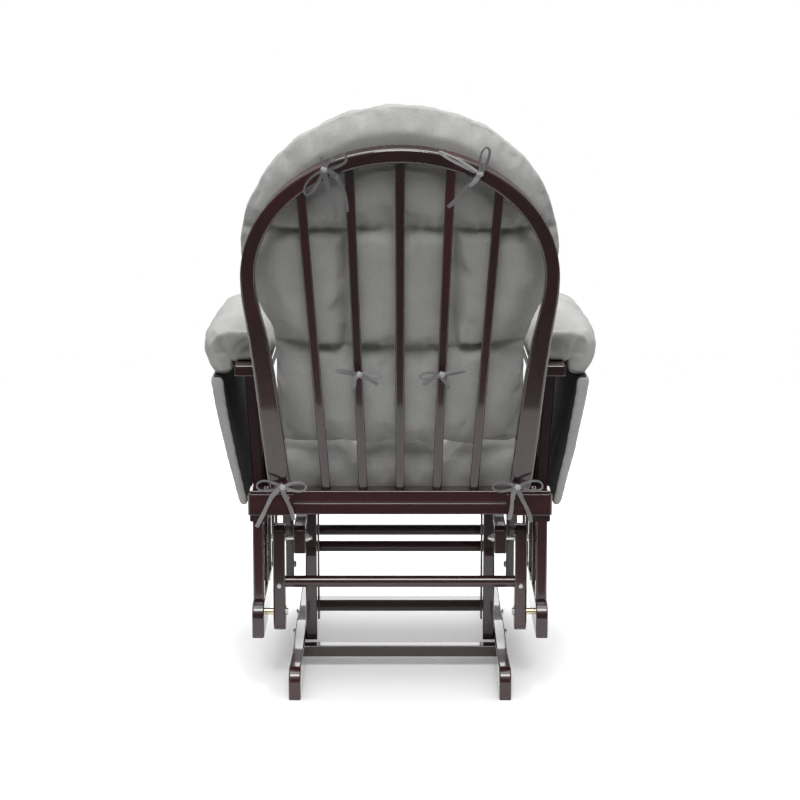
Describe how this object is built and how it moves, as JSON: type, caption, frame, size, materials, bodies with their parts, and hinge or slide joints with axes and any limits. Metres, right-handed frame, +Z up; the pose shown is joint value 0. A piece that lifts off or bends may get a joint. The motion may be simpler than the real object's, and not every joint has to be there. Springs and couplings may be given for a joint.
{
  "type": "glider nursery chair",
  "caption": "Wooden glider chair with a slatted hoop back, padded arms with side pockets, and a seat hung from four swinging links on a floor base.",
  "frame": {"origin": "on the floor, under the middle of the whole chair", "axes": "+Z up, the sitter faces -Y, +X is the sitter's left"},
  "size_m": [0.666, 0.6784, 1.0046],
  "materials": {
    "stained_wood": "gloss dark espresso lacquer",
    "upholstery": "woven grey polyester over fibre fill",
    "tie_fabric": "folded grey strip",
    "plated_steel": "bright zinc",
    "brass_parts": "pale yellow passivated",
    "nylon": "moulded"
  },
  "bodies": {
    "base": {"left_foot_rail": "stained_wood", "left_front_post": "stained_wood", "left_rear_post": "stained_wood", "left_top_rail": "stained_wood", "right_foot_rail": "stained_wood", "right_front_post": "stained_wood", "right_rear_post": "stained_wood", "right_top_rail": "stained_wood", "rear_floor_stretcher": "stained_wood", "front_lower_stretcher": "stained_wood", "front_upper_dowel": "stained_wood", "base_bolts": "plated_steel", "upper_pins": "plated_steel", "upper_nuts": "plated_steel"},
    "front_links": {"left_front_link": "stained_wood", "right_front_link": "stained_wood", "front_crossbar": "stained_wood", "front_link_bushes": "nylon"},
    "rear_links": {"left_rear_link": "stained_wood", "right_rear_link": "stained_wood", "rear_crossbar": "stained_wood", "rear_link_bushes": "nylon", "rear_link_screws": "plated_steel"},
    "seat": {"back_cushion": "upholstery", "back_hoop": "stained_wood", "back_rail": "stained_wood", "back_slat_1": "stained_wood", "back_slat_2": "stained_wood", "back_slat_3": "stained_wood", "back_slat_4": "stained_wood", "back_slat_5": "stained_wood", "corner_bolts": "plated_steel", "front_seat_rail": "stained_wood", "hoop_ties": "tie_fabric", "left_arm": "stained_wood", "left_arm_pad": "upholstery", "left_arm_pocket": "upholstery", "left_arm_spindles": "stained_wood", "left_corner_plate": "stained_wood", "left_outer_rail": "stained_wood", "left_rail_spindles": "stained_wood", "left_seat_rail": "stained_wood", "lower_nuts": "plated_steel", "lower_pins": "plated_steel", "lower_spacers": "brass_parts", "rear_seat_rail": "stained_wood", "right_arm": "stained_wood", "right_arm_pad": "upholstery", "right_arm_pocket": "upholstery", "right_arm_spindles": "stained_wood", "right_corner_plate": "stained_wood", "right_outer_rail": "stained_wood", "right_rail_spindles": "stained_wood", "right_seat_rail": "stained_wood", "seat_cushion": "upholstery", "seat_deck_boards": "stained_wood", "seat_ties": "tie_fabric", "slat_ties": "tie_fabric"}
  },
  "joints": [
    {"name": "glide_swing", "type": "hinge", "parent": "base", "child": "front_links", "pos_m": [0, -0.20721, 0.25], "axis": [1, 0, 0], "range_deg": [-22, 22]},
    {"name": "rear_link_swing", "type": "hinge", "parent": "base", "child": "rear_links", "pos_m": [0, 0.12079, 0.25], "axis": [1, 0, 0], "range_deg": [-22, 22]},
    {"name": "seat_pivot", "type": "hinge", "parent": "front_links", "child": "seat", "pos_m": [0, -0.20721, 0.12], "axis": [1, 0, 0], "range_deg": [-22, 22]}
  ],
  "couplings": [
    {"joint": "rear_link_swing", "follows": "glide_swing", "ratio": 1},
    {"joint": "seat_pivot", "follows": "glide_swing", "ratio": -1}
  ]
}
